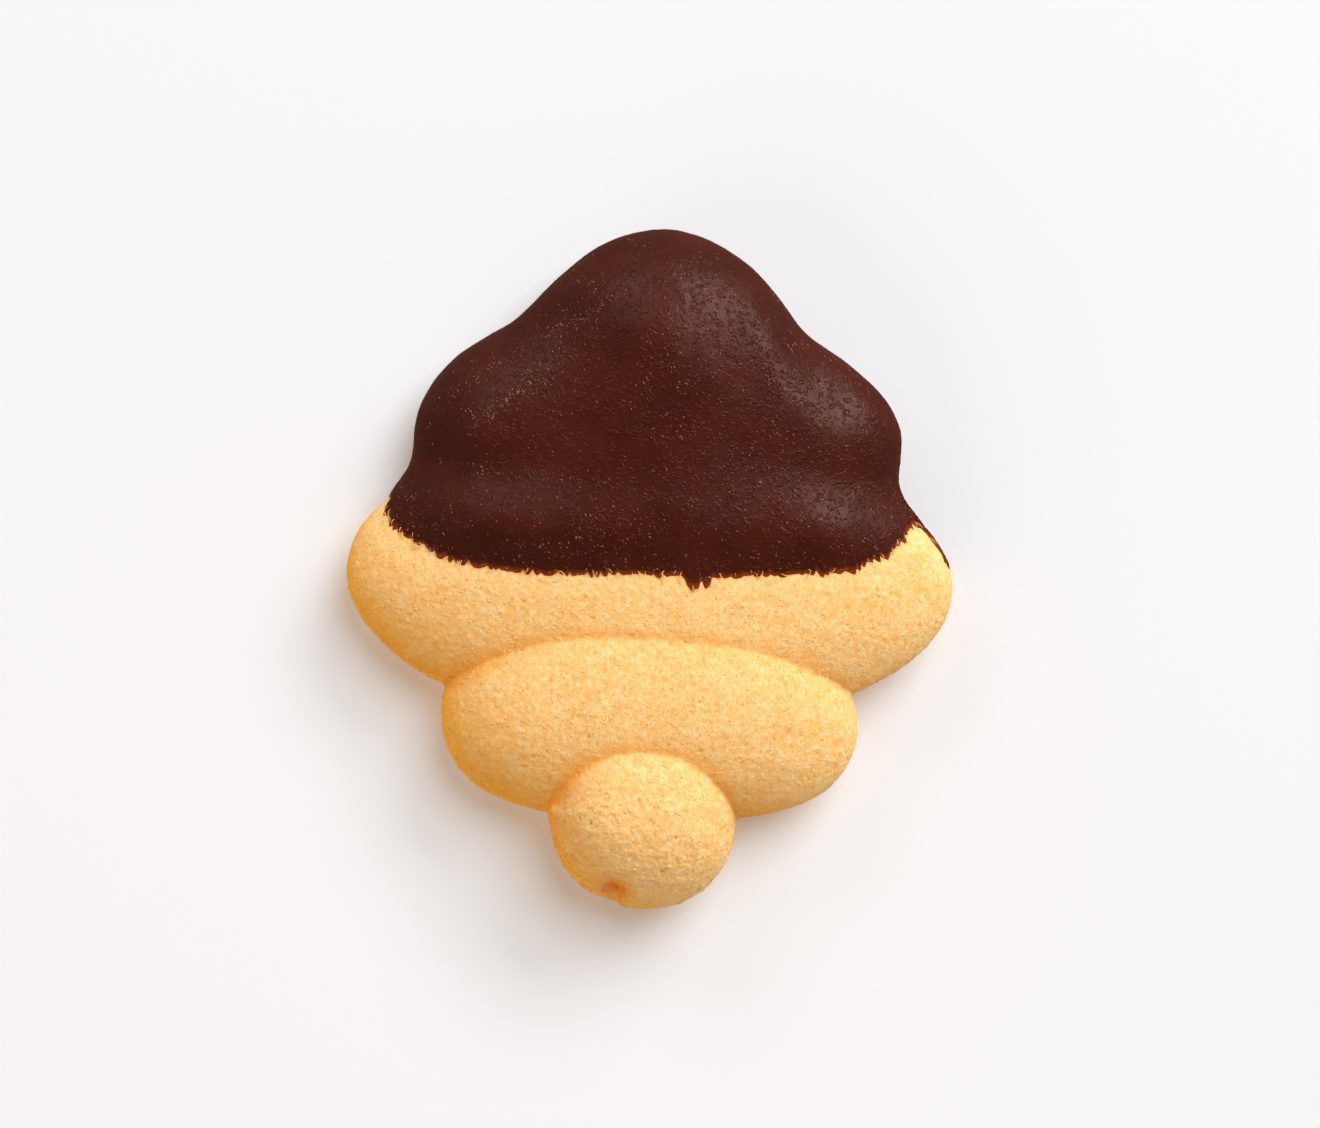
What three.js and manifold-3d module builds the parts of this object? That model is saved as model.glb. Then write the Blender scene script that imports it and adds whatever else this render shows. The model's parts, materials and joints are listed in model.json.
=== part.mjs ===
import * as THREE from 'three';
import { mergeVertices } from 'three/addons/utils/BufferGeometryUtils.js';
import Module from 'manifold-3d';

// A piped cookie of five lobes, lying on its baked side with one end dipped in chocolate.
// Millimetres. X runs across the cookie, Y runs from the small bare tip to the dipped end,
// Z is up, and the origin is on the resting plane under the middle of the cookie.

// Each lobe is a rounded pillow seen from above: its middle, half sizes across and along, its
// rise above the widest level, a bow of its long axis (positive lifts the ends towards +Y), a
// turn about Z in degrees, how square its outline is (2 is an ellipse), and a lean that makes
// one side deeper.
const LOBES = {
  crown: {
    x: 2.7, y: 16.8, across: 14.3, along: 11.3, rise: 7.6,
    bow: -4.0, turn: -20, square: 2.0, lean: -0.26,
  },
  arch: {
    x: 0.8, y: 11.5, across: 20.7, along: 10.9, rise: 7.5,
    bow: -0.1, turn: -2, square: 2.0, lean: -0.05,
  },
  wide: {
    x: 0.0, y: -1.5, across: 26.8, along: 12.5, rise: 6.9,
    bow: 0.5, turn: -2.3, square: 2.1, lean: -0.03,
  },
  short: {
    x: 0.1, y: -11.4, across: 18.4, along: 10.6, rise: 7.3,
    bow: -2.0, turn: -3.4, square: 2.7, lean: -0.05,
  },
  tip: {
    x: -0.6, y: -21.2, across: 8.3, along: 8.7, rise: 8.1,
    bow: 0, turn: 0, square: 2.4, lean: 0.03,
  },
};
// Chocolate that has settled in the crease between arch and wide, in the middle only.
const POOL = {
  x: 1.0, y: 5.0, across: 14, along: 9.5, rise: 7.0,
  bow: 0, turn: 0, square: 2.4, lean: 0,
};
const DIPPED_LOBES = [LOBES.crown, LOBES.arch, LOBES.wide];

// Thickness of the chocolate, and the gap that stands in for its bond with the dough.
const COAT = 0.55;
const GAP = 0.25;

// The baked side lies one coat and one gap above the resting plane, and the lobes are widest
// at the belly.
const BISCUIT_BASE = COAT + GAP;
const BELLY = 4.2;

// The chocolate softens the creases it flows over: a larger fill rounds them more.
const CREASE_FILL = 9;
const COAT_CENTRE_Y = 8;
const COAT_REACH = 40;

// Lower edge of the dip seen from above: nearly straight in the middle, falling a little
// towards +X, and curling up at both sides.
const DIP_EDGE_Y = -0.6;
const DIP_SLOPE = -0.04;
const DIP_SIDE_RISE = 7;
const DIP_HALF_WIDTH = 24;
const DIP_CURL = 6;
const DIP_STEPS = 36;
const DIP_CUTTER_TOP_Y = 40;
const DIP_CUTTER_HEIGHT = 20;
const DIP_CUTTER_HALF_WIDTH = 27.5;

const LOBE_SEGMENTS = 52;
const LOBE_RINGS = 12;
const COAT_SEGMENTS = 72;
const COAT_TOP_RINGS = 14;
const COAT_FOOT_RINGS = 5;
const HALVINGS = 40;

const DOUGH = { color: '#e6b36c', roughness: 0.9, metalness: 0 };
const CHOCOLATE = { color: '#48201a', roughness: 0.45, metalness: 0 };

const wasm = await Module();
wasm.setup();

/** Build an indexed geometry from rings of points closed by one point above and one below. */
function ringGeometry(top, rings, bottom) {
  const count = rings[0].length;
  const points = [top, ...rings.flat(), bottom];
  const last = points.length - 1;
  const index = [];
  for (let k = 0; k < count; k += 1) {
    const next = (k + 1) % count;
    index.push(0, 1 + k, 1 + next);
    for (let ring = 0; ring < rings.length - 1; ring += 1) {
      const upper = 1 + ring * count;
      const lower = upper + count;
      index.push(upper + k, lower + k, lower + next);
      index.push(upper + k, lower + next, upper + next);
    }
    const foot = 1 + (rings.length - 1) * count;
    index.push(last, foot + next, foot + k);
  }
  const geometry = new THREE.BufferGeometry().setFromPoints(points);
  geometry.setIndex(index);
  return geometry;
}

/** Hand a closed geometry to manifold for joining and cutting. */
function toSolid(geometry) {
  const bare = geometry.clone();
  bare.deleteAttribute('normal');
  bare.deleteAttribute('uv');
  const merged = mergeVertices(bare);
  return new wasm.Manifold(new wasm.Mesh({
    numProp: 3,
    vertProperties: new Float32Array(merged.attributes.position.array),
    triVerts: new Uint32Array(merged.index.array),
  }));
}

/** Turn a finished solid into a named mesh. */
function toMesh(solid, name, finish) {
  const data = solid.getMesh();
  const geometry = new THREE.BufferGeometry();
  geometry.setAttribute('position', new THREE.BufferAttribute(new Float32Array(data.vertProperties), 3));
  geometry.setIndex(new THREE.BufferAttribute(new Uint32Array(data.triVerts), 1));
  geometry.computeVertexNormals();
  const mesh = new THREE.Mesh(geometry, new THREE.MeshStandardMaterial(finish));
  mesh.name = name;
  return mesh;
}

/** One lobe as a closed pillow with a flat base, swollen by `extra` on every side. */
function lobeSolid(lobe, extra) {
  const base = BISCUIT_BASE - extra;
  const rise = lobe.rise + extra;
  const turn = THREE.MathUtils.degToRad(lobe.turn);
  const baseAngle = Math.acos((base - BELLY) / rise);
  const place = (u, v, z) => {
    const x = (lobe.across + extra) * u;
    const y = (lobe.along + extra) * v + lobe.bow * u * u;
    return new THREE.Vector3(
      lobe.x + x * Math.cos(turn) - y * Math.sin(turn),
      lobe.y + x * Math.sin(turn) + y * Math.cos(turn),
      z,
    );
  };
  const rings = [];
  for (let ring = 1; ring <= LOBE_RINGS; ring += 1) {
    const angle = baseAngle * ring / LOBE_RINGS;
    const size = Math.sin(angle);
    const z = BELLY + rise * Math.cos(angle);
    const points = [];
    for (let k = 0; k < LOBE_SEGMENTS; k += 1) {
      const around = 2 * Math.PI * k / LOBE_SEGMENTS;
      const cosine = Math.cos(around);
      const u = size ** (2 / lobe.square) * cosine;
      const reach = Math.sqrt(Math.max(0, 1 - Math.abs(cosine) ** lobe.square));
      const v = size * Math.sign(Math.sin(around)) * reach / (1 - lobe.lean * u);
      points.push(place(u, v, z));
    }
    rings.push(points);
  }
  return toSolid(ringGeometry(place(0, 0, BELLY + rise), rings, place(0, 0, base)));
}

/** Squared height above the widest level that one swollen lobe has over a point of the plan. */
function lobeField(lobe, extra, x, y) {
  const turn = THREE.MathUtils.degToRad(lobe.turn);
  const dx = x - lobe.x;
  const dy = y - lobe.y;
  const u = (dx * Math.cos(turn) + dy * Math.sin(turn)) / (lobe.across + extra);
  const bent = dy * Math.cos(turn) - dx * Math.sin(turn) - lobe.bow * u * u;
  const v = bent / (lobe.along + extra) * (1 - lobe.lean * u);
  return (1 - Math.abs(u) ** lobe.square - v * v) * (lobe.rise + extra) ** 2;
}

/** The same for all dipped lobes together, with their creases filled. */
function coatField(x, y) {
  const fields = [...DIPPED_LOBES, POOL].map((lobe) => lobeField(lobe, COAT + GAP, x, y));
  const highest = Math.max(...fields);
  const sum = fields.reduce((total, field) => total + Math.exp((field - highest) / CREASE_FILL), 0);
  return highest + CREASE_FILL * Math.log(sum);
}

/** Distance from the coat's centre, in direction `around`, at which its field falls to `level`. */
function coatReach(around, level) {
  let near = 0;
  let far = COAT_REACH;
  for (let step = 0; step < HALVINGS; step += 1) {
    const middle = (near + far) / 2;
    const field = coatField(middle * Math.cos(around), COAT_CENTRE_Y + middle * Math.sin(around));
    if (field > level) {
      near = middle;
    } else {
      far = middle;
    }
  }
  return near;
}

/** The whole outer skin of the chocolate as a closed solid, before it is cut at the dip edge. */
function coatSkinSolid() {
  const directions = Array.from({ length: COAT_SEGMENTS }, (_, k) => 2 * Math.PI * k / COAT_SEGMENTS);
  const place = (around, reach, z) => new THREE.Vector3(
    reach * Math.cos(around),
    COAT_CENTRE_Y + reach * Math.sin(around),
    z,
  );
  const outline = directions.map((around) => coatReach(around, 0));
  const rings = [];
  for (let ring = 1; ring < COAT_TOP_RINGS; ring += 1) {
    const part = Math.sin(Math.PI / 2 * ring / COAT_TOP_RINGS);
    rings.push(directions.map((around, k) => {
      const point = place(around, outline[k] * part, 0);
      point.z = BELLY + Math.sqrt(coatField(point.x, point.y));
      return point;
    }));
  }
  rings.push(directions.map((around, k) => place(around, outline[k], BELLY)));
  for (let ring = 1; ring <= COAT_FOOT_RINGS; ring += 1) {
    const drop = BELLY * Math.sin(Math.PI / 2 * ring / COAT_FOOT_RINGS);
    rings.push(directions.map((around) => place(around, coatReach(around, drop * drop), BELLY - drop)));
  }
  const summit = BELLY + Math.sqrt(coatField(0, COAT_CENTRE_Y));
  return toSolid(ringGeometry(
    new THREE.Vector3(0, COAT_CENTRE_Y, summit),
    rings,
    new THREE.Vector3(0, COAT_CENTRE_Y, 0),
  ));
}

/** Everything on the dipped side of the dip edge, as an upright block. */
function dipBlockSolid() {
  const outline = new THREE.Shape();
  outline.moveTo(DIP_CUTTER_HALF_WIDTH, DIP_CUTTER_TOP_Y);
  outline.lineTo(-DIP_CUTTER_HALF_WIDTH, DIP_CUTTER_TOP_Y);
  for (let step = 0; step <= DIP_STEPS; step += 1) {
    const x = DIP_CUTTER_HALF_WIDTH * (2 * step / DIP_STEPS - 1);
    const rise = DIP_SIDE_RISE * (Math.abs(x) / DIP_HALF_WIDTH) ** DIP_CURL;
    outline.lineTo(x, DIP_EDGE_Y + DIP_SLOPE * x + rise);
  }
  outline.closePath();
  const geometry = new THREE.ExtrudeGeometry(outline, { depth: DIP_CUTTER_HEIGHT, bevelEnabled: false });
  geometry.translate(0, 0, BELLY - DIP_CUTTER_HEIGHT / 2);
  return toSolid(geometry);
}

const biscuit = wasm.Manifold.union(Object.values(LOBES).map((lobe) => lobeSolid(lobe, 0)));
const hollow = wasm.Manifold.union(DIPPED_LOBES.map((lobe) => lobeSolid(lobe, GAP)));
const coat = coatSkinSolid().intersect(dipBlockSolid()).subtract(hollow);

const part = new THREE.Group();
part.name = 'chocolate_dipped_cookie';
part.add(toMesh(biscuit, 'biscuit', DOUGH));
part.add(toMesh(coat, 'chocolate_coat', CHOCOLATE));

export default part;
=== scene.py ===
import json
import math

import bpy
import numpy as np
from mathutils import Matrix, Vector, kdtree, noise

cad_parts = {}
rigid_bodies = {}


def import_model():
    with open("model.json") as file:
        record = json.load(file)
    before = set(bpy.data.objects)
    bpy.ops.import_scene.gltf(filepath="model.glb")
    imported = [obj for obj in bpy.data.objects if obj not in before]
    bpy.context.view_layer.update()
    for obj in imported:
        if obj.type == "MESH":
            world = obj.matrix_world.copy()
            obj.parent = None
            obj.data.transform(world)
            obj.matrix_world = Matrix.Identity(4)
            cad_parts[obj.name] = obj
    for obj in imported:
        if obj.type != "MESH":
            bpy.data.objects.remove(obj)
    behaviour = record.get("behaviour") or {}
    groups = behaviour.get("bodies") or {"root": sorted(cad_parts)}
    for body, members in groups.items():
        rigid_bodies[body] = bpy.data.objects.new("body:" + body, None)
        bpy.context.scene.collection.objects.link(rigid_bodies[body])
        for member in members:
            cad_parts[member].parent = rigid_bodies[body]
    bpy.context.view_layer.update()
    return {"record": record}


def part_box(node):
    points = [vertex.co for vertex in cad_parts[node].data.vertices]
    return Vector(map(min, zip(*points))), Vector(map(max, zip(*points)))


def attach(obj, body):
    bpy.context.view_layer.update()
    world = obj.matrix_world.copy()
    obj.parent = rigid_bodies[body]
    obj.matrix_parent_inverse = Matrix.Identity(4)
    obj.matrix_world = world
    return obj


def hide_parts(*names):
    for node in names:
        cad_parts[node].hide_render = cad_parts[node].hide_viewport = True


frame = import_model()
slots = {part["node"]: part["material_slot"] for part in frame["record"]["subparts"]}

mm = 0.001  # everything is shaped in millimetres and brought to metres at the end

cookieLevels = {
    "base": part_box("biscuit")[0].z / mm,  # underside of the baked dough
    "belly": 4.2,  # height at which every lobe is widest
}
cookieLevels["cover"] = cookieLevels["base"]  # the chocolate is as thick underneath as around


def addNode(tree, kind, inputs=None, **settings):
    made = tree.nodes.new(kind)
    for name, value in settings.items():
        setattr(made, name, value)
    for key, value in (inputs or {}).items():
        value = getattr(value, "socket", value)
        if isinstance(value, bpy.types.NodeSocket):
            tree.links.new(value, made.inputs[key])
        else:
            made.inputs[key].default_value = value
    return made


def flow(tree, kind, inputs=None, output=0, **settings):
    return Flow(tree, addNode(tree, kind, inputs, **settings).outputs[output])


# A value on its way through a node tree, so that node maths reads as ordinary sums.
class Flow:
    def __init__(self, tree, socket):
        self.tree = tree
        self.socket = socket

    def math(self, operation, *others):
        return flow(self.tree, "ShaderNodeMath", dict(enumerate([self, *others])), operation=operation)

    def __add__(self, other):
        return self.math("ADD", other)

    def __sub__(self, other):
        return self.math("SUBTRACT", other)

    def __mul__(self, other):
        return self.math("MULTIPLY", other)

    def __truediv__(self, other):
        return self.math("DIVIDE", other)

    def __rsub__(self, other):
        return self * -1.0 + other

    def __rtruediv__(self, other):
        return self.math("POWER", -1.0) * other

    def remap(self, low, high, newLow=0.0, newHigh=1.0):
        inputs = {"Value": self, "From Min": low, "From Max": high, "To Min": newLow, "To Max": newHigh}
        return flow(self.tree, "ShaderNodeMapRange", inputs, "Result", interpolation_type="SMOOTHSTEP")


def joinXYZ(tree, x=0.0, y=0.0, z=0.0):
    return flow(tree, "ShaderNodeCombineXYZ", {0: x, 1: y, 2: z})


def splitXYZ(tree, vector):
    corner = addNode(tree, "ShaderNodeSeparateXYZ", {0: vector})
    return [Flow(tree, socket) for socket in corner.outputs]


def scaledBy(tree, vector, amount):
    return flow(tree, "ShaderNodeVectorMath", {0: vector, "Scale": amount}, operation="SCALE")


def noiseAt(tree, place, size, detail=2.0, distortion=0.0):
    inputs = {"Vector": place, "Scale": 1 / size, "Detail": detail, "Distortion": distortion}
    return flow(tree, "ShaderNodeTexNoise", inputs)


# Thin winding lines where a soft noise passes through its middle value.
def curlsAt(tree, place, size, width):
    away = (noiseAt(tree, place, size, 1.0, 1.2) - 0.5).math("ABSOLUTE")
    return away.remap(width, 0.0)


# Broken little rings and arcs, at the given radius round scattered middles.
def ringsAt(tree, place, size, radius, width):
    swirl = addNode(tree, "ShaderNodeTexNoise", {"Vector": place, "Scale": 1.6 / size, "Detail": 0.0})
    shift = (size * 0.6,) * 3
    moved = flow(tree, "ShaderNodeVectorMath", {
        0: swirl.outputs["Color"], 1: shift, 2: place}, operation="MULTIPLY_ADD")
    cells = flow(tree, "ShaderNodeTexVoronoi", {"Vector": moved, "Scale": 1 / size}, "Distance")
    ring = (cells * size - radius).math("ABSOLUTE").remap(width, 0.0)
    return ring * noiseAt(tree, place, size * 0.6, 0.0).remap(0.4, 0.56)


def readFloat(tree, name):
    return flow(tree, "GeometryNodeInputNamedAttribute", {"Name": name}, data_type="FLOAT")


def startTree(name, sizes):
    kinds = {float: "NodeSocketFloat", int: "NodeSocketInt"}
    tree = bpy.data.node_groups.new(name, "GeometryNodeTree")
    tree.is_modifier = True
    tree.interface.new_socket("Geometry", in_out="INPUT", socket_type="NodeSocketGeometry")
    tree.interface.new_socket("Geometry", in_out="OUTPUT", socket_type="NodeSocketGeometry")
    for label, value in sizes.items():
        if isinstance(value, str):
            tree.interface.new_socket(label, in_out="INPUT", socket_type=value)
        else:
            socket = tree.interface.new_socket(label, in_out="INPUT", socket_type=kinds[type(value)])
            socket.default_value = value
    outputs = addNode(tree, "NodeGroupInput").outputs
    return tree, {label: Flow(tree, outputs[label]) for label in ["Geometry", *sizes]}


def endTree(tree, geometry, material):
    realized = addNode(tree, "GeometryNodeRealizeInstances", {0: geometry}).outputs[0]
    finished = addNode(tree, "GeometryNodeSetMaterial", {"Geometry": realized, "Material": material})
    addNode(tree, "NodeGroupOutput", {0: finished.outputs[0]})


def pushOut(tree, geometry, height):
    offset = scaledBy(tree, addNode(tree, "GeometryNodeInputNormal").outputs[0], height)
    return flow(tree, "GeometryNodeSetPosition", {"Geometry": geometry, "Offset": offset})


def runTree(target, tree, values):
    modifier = target.modifiers.new(tree.name, "NODES")
    modifier.node_group = tree
    for item in tree.interface.items_tree:
        if item.in_out == "INPUT" and item.name in values:
            modifier[item.identifier] = values[item.name]
    settle(target)


def settle(target):
    graph = bpy.context.evaluated_depsgraph_get()
    evaluated = target.evaluated_get(graph)
    mesh = bpy.data.meshes.new_from_object(evaluated, preserve_all_data_layers=True, depsgraph=graph)
    target.modifiers.clear()
    target.data = mesh


def newObject(name, mesh):
    made = bpy.data.objects.new(name, mesh)
    bpy.context.scene.collection.objects.link(made)
    return made


def meshFrom(name, points, faces):
    mesh = bpy.data.meshes.new(name)
    mesh.from_pydata([tuple(point) for point in points], [], faces)
    mesh.update()
    return mesh


# Faces between rings of points that follow one another.
def wallFaces(rings, count):
    faces = []
    for start in range(0, (rings - 1) * count, count):
        for k in range(count):
            after = (k + 1) % count
            faces.append((start + k, start + after, start + count + after, start + count + k))
    return faces


def vectorsOf(owner, name="co"):
    flat = np.zeros(len(owner) * 3)
    owner.foreach_get(name, flat)
    return flat.reshape(-1, 3)


def movePoints(mesh, points):
    mesh.vertices.foreach_set("co", np.ascontiguousarray(points).ravel())
    mesh.update()


def storeFloat(mesh, name, values):
    layer = mesh.attributes.get(name) or mesh.attributes.new(name, "FLOAT", "POINT")
    layer.data.foreach_set("value", np.asarray(values, np.float32))


def storedFloat(mesh, name):
    values = np.zeros(len(mesh.vertices), np.float32)
    mesh.attributes[name].data.foreach_get("value", values)
    return values


# A soft random value between about -1 and 1. Each use has a start of its own.
def wander(spot, size, start):
    return noise.noise(spot / size + Vector(start))


def triangleCount(mesh):
    return sum(len(face.vertices) - 2 for face in mesh.polygons)


def finishPiece(piece, slot, *nodes):
    piece.data.transform(Matrix.Scale(mm, 4))
    piece.data.shade_smooth()
    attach(piece, "root")
    if nodes:
        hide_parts(*nodes)
    print(piece.name, "has", triangleCount(piece.data), "triangles")


def newMaterial(name):
    material = bpy.data.materials.new(name)
    material.use_nodes = True
    tree = material.node_tree
    return material, tree, tree.nodes["Principled BSDF"]


# Of this node's sockets, 6, 7 and 2 are the colours going in and coming out.
def blendColours(tree, factor, first, second):
    return flow(tree, "ShaderNodeMix", {"Factor": factor, 6: first, 7: second}, 2, data_type="RGBA")


# Lays colours of a finish over one another, each by its own share.
def layColours(tree, colour, finish, layers):
    for share, name in layers:
        colour = blendColours(tree, share, colour, finish[name])
    return colour


def setSockets(shader, values):
    for name, value in values.items():
        shader.inputs[name].default_value = value


def addBump(tree, shader, height, strength, distance):
    bump = addNode(tree, "ShaderNodeBump", {
        "Height": height, "Strength": strength, "Distance": distance * mm})
    tree.links.new(bump.outputs[0], shader.inputs["Normal"])


def objectPlace(tree):
    place = addNode(tree, "ShaderNodeTexCoord").outputs["Object"]
    return scaledBy(tree, place, 1 / mm)


def attributeOf(tree, name):
    return flow(tree, "ShaderNodeAttribute", output="Fac", attribute_name=name)


# The piped lobes. Each has its middle, half sizes across and along, its rise above the belly,
# a bow that lifts the ends towards +Y, a turn in degrees, how square its outline is (2 is an
# ellipse) and a lean that makes one side deeper.
pipedLobes = {
    "crown": {"x": 2.7, "y": 16.8, "across": 14.3, "along": 11.3, "rise": 7.6,
              "bow": -4.0, "turn": -20, "square": 2.0, "lean": -0.26},
    "arch": {"x": 0.8, "y": 11.5, "across": 20.7, "along": 10.9, "rise": 7.5,
             "bow": -0.1, "turn": -2, "square": 2.0, "lean": -0.05},
    "wide": {"x": 0.0, "y": -1.5, "across": 26.8, "along": 12.5, "rise": 6.9,
             "bow": 0.5, "turn": -2.3, "square": 2.1, "lean": -0.03},
    "short": {"x": 0.1, "y": -11.4, "across": 18.4, "along": 10.6, "rise": 7.3,
              "bow": -2.0, "turn": -3.4, "square": 2.7, "lean": -0.05},
    "tip": {"x": -0.6, "y": -21.2, "across": 8.3, "along": 8.7, "rise": 8.1,
            "bow": 0.0, "turn": 0, "square": 2.4, "lean": 0.03},
}
dippedLobes = ["crown", "arch", "wide"]


def lobeTree():
    sizes = {"Place X": 0.0, "Place Y": 0.0, "Across": 10.0, "Along": 8.0, "Rise": 7.0, "Bow": 0.0,
             "Turn": 0.0, "Square": 2.0, "Lean": 0.0, "Belly": 4.0, "Base": 1.0,
             "Around": 96, "Rings": 48, "Material": "NodeSocketMaterial"}
    tree, given = startTree("pipedLobe", sizes)
    ball = flow(tree, "GeometryNodeMeshUVSphere", {
        "Segments": given["Around"], "Rings": given["Rings"], "Radius": 1.0})
    px, py, pz = splitXYZ(tree, addNode(tree, "GeometryNodeInputPosition").outputs[0])
    ringSize = (px * px + py * py).math("SQRT")
    safeSize = ringSize.math("MAXIMUM", 0.000001)  # it is nothing at the poles
    cosine = (px / safeSize).math("MINIMUM", 1.0).math("MAXIMUM", -1.0)
    reach = (1.0 - cosine.math("ABSOLUTE").math("POWER", given["Square"])).math("MAXIMUM", 0.0)
    u = ringSize.math("POWER", 2.0 / given["Square"]) * cosine
    v = ringSize * reach.math("SQRT") * py.math("SIGN") / (1.0 - given["Lean"] * u)
    y = given["Along"] * v + given["Bow"] * u * u
    z = (given["Belly"] + given["Rise"] * pz).math("MAXIMUM", given["Base"])
    place = joinXYZ(tree, given["Across"] * u, y, z)
    shaped = flow(tree, "GeometryNodeSetPosition", {"Geometry": ball, "Position": place})
    laid = flow(tree, "GeometryNodeTransform", {
        "Geometry": shaped,
        "Translation": joinXYZ(tree, given["Place X"], given["Place Y"]),
        "Rotation": joinXYZ(tree, z=given["Turn"]),
    })
    endTree(tree, laid, given["Material"])
    return tree


def pipeLobe(tree, name, lobe, material):
    piece = newObject("lobe_" + name, bpy.data.meshes.new(name))
    runTree(piece, tree, {
        "Place X": lobe["x"], "Place Y": lobe["y"], "Across": lobe["across"], "Along": lobe["along"],
        "Rise": lobe["rise"], "Bow": lobe["bow"], "Turn": math.radians(lobe["turn"]),
        "Square": float(lobe["square"]), "Lean": lobe["lean"], "Material": material,
        "Belly": cookieLevels["belly"], "Base": cookieLevels["base"],
    })
    return piece


# Squared height above the belly that one swollen lobe has over points of the plan.
def lobeField(lobe, x, y, grow=0.0):
    turn = math.radians(lobe["turn"])
    dx = x - lobe["x"]
    dy = y - lobe["y"]
    u = (dx * math.cos(turn) + dy * math.sin(turn)) / (lobe["across"] + grow)
    bent = dy * math.cos(turn) - dx * math.sin(turn) - lobe["bow"] * u * u
    v = bent / (lobe["along"] + grow) * (1 - lobe["lean"] * u)
    return (1 - np.abs(u) ** lobe["square"] - v * v) * (lobe["rise"] + grow) ** 2


# The dip edge, as offsets along Y in millimetres over the share of the half width. The
# chocolate climbs at both sides and runs a little way down the outer wall on the right.
dipEdge = {
    "middle": -0.6,
    "tilt": -0.3,
    "leftRise": 7.0,
    "leftCurl": 3.7,
    "rightRise": 6.8,
    "rightCurl": 5.3,
    "rightTop": 4.9,  # where the climb on the right levels off
    "levelling": 8,  # how sharply it does
    "rightHook": 4.3,  # how far the chocolate runs down the outer wall
    "hookStart": 0.986,  # and the shares of the half width between which it does
    "hookEnd": 0.999,
    "underMiddle": -1.2,
    "underCurl": 6.0,
    "underStart": 0.8,  # beneath, the coat thickens late from here to the side
    "waves": [(5.0, 0.4), (1.9, 0.25), (0.8, 0.12)],  # length and height of each
    "fingerSpacing": 0.95,  # round fingers with sharp notches between them
    "fingerReach": 0.7,
    "fingerMiddle": 0.6,  # the part of a finger that stands inside the even edge
    "fingerDrift": (1.7, 1.6),  # over this length they drift by this share of the spacing
    "fingerSwing": (1.4, 1.5),  # and over this length their reach swings by this share
    "calmX": 3.0,  # the fingers are shortest here
    "calmShare": 0.28,
    "calmReach": 18.0,
    "nibbleLength": 0.45,
    "nibbleReach": 0.14,
    "nibbleMiddle": 0.3,
    "drips": [(3.7, 0.62, 1.15), (4.9, 0.42, 1.0)],  # x, half width and reach of each
    "raggedDepth": 0.8,  # how far in from the edge the raggedness dies away
    "plainSides": 0.08,  # at the very sides it runs straight along Y
}

chocolateCoat = {
    "pool": {"x": -0.5, "y": 3.5, "across": 21.8, "along": 10.7, "rise": 7.55,
             "bow": -3.0, "turn": 3, "square": 3.5, "lean": 0.0},
    "footFill": 9.0,  # rounding of the creases down at the sides
    "topFill": 7.0,  # and on top, where the chocolate has settled
    "thinFill": 2.0,  # and where it is only a film
    "footBand": 12,  # squared height over which the sides give way to the top
    "settling": 2.2,  # distance behind the edge over which it settles
    "swellFoot": 4,  # the swells fade out below this height above the belly
    "floorRound": 0.25,  # rounding where the wall meets the underside
    "lip": 0.25,  # thickness just behind the edge
    "lipRound": 1.1,
    "lipGrowth": 2.4,  # distance over which the coat comes to its full thickness
    "sunk": -0.08,  # the very edge ends inside the crumb
    "topColumns": 440,
    "underColumns": 60,
    "columnCrowding": 0.22,  # moves columns from the steep sides to the middle of the edge
    "rows": 150,
    "rowCrowding": 0.12,  # and rows to the nose, where the skin turns over
    "lipRows": [0.0, 0.05, 0.12, 0.22, 0.34],  # distances behind the edge
    "lipRowsEnd": 0.4,
    "liningRows": 14,
    "noseGap": 0.004,  # the rows end this far before the nose
    "tableX": (-31.0, 31.0, 0.02),  # from, to and step of the search for the outline
    "tableY": (-6.0, 34.0, 0.05),
    "relief": {
        "Swell Size": 6.5, "Swell Height": 0.2,
        "Pucker Size": 1.6, "Pucker Height": 0.05,
        "Stroke Size": 0.5, "Stroke Length": 1.5, "Stroke Turn": -0.85, "Stroke Height": 0.02,
        "Curl Size": 1.0, "Curl Width": 0.05, "Curl Height": 0.012,
    },
}


# Swells and hollows of the set chocolate: middle, half sizes, turn in degrees and height.
coatSwells = {
    "rightCrease": {"x": 8.9, "y": 12.8, "along": 11.5, "across": 5.5, "turn": -79, "height": -0.8},
    "rightHollow": {"x": 16.0, "y": 14.8, "along": 3.3, "across": 2.3, "turn": -42, "height": -0.5},
    "rightKnob": {"x": 17.7, "y": 0.5, "along": 4.2, "across": 2.1, "turn": -33, "height": 0.42},
    "rightDip": {"x": 17.0, "y": 6.1, "along": 2.9, "across": 2.5, "turn": -33, "height": -0.33},
    "leftKnob": {"x": -15.0, "y": 10.4, "along": 2.6, "across": 2.8, "turn": 10, "height": 0.55},
    "leftBrow": {"x": -11.4, "y": 2.9, "along": 6.3, "across": 3.1, "turn": 15, "height": 0.5},
    "leftRidge": {"x": -14.4, "y": 12.7, "along": 6.9, "across": 2.6, "turn": 44, "height": 0.55},
    "leftCrease": {"x": -8.0, "y": 16.8, "along": 11.7, "across": 5.5, "turn": -92, "height": -0.8},
    "leftHollow": {"x": -17.8, "y": 9.3, "along": 3.0, "across": 2.0, "turn": 15, "height": -0.5},
    "crownRidge": {"x": 9.7, "y": 23.4, "along": 7.5, "across": 2.2, "turn": -70, "height": 0.25},
    "crownFoot": {"x": 3.2, "y": 18.0, "along": 7.0, "across": 2.8, "turn": -41, "height": 0.33},
}


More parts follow.
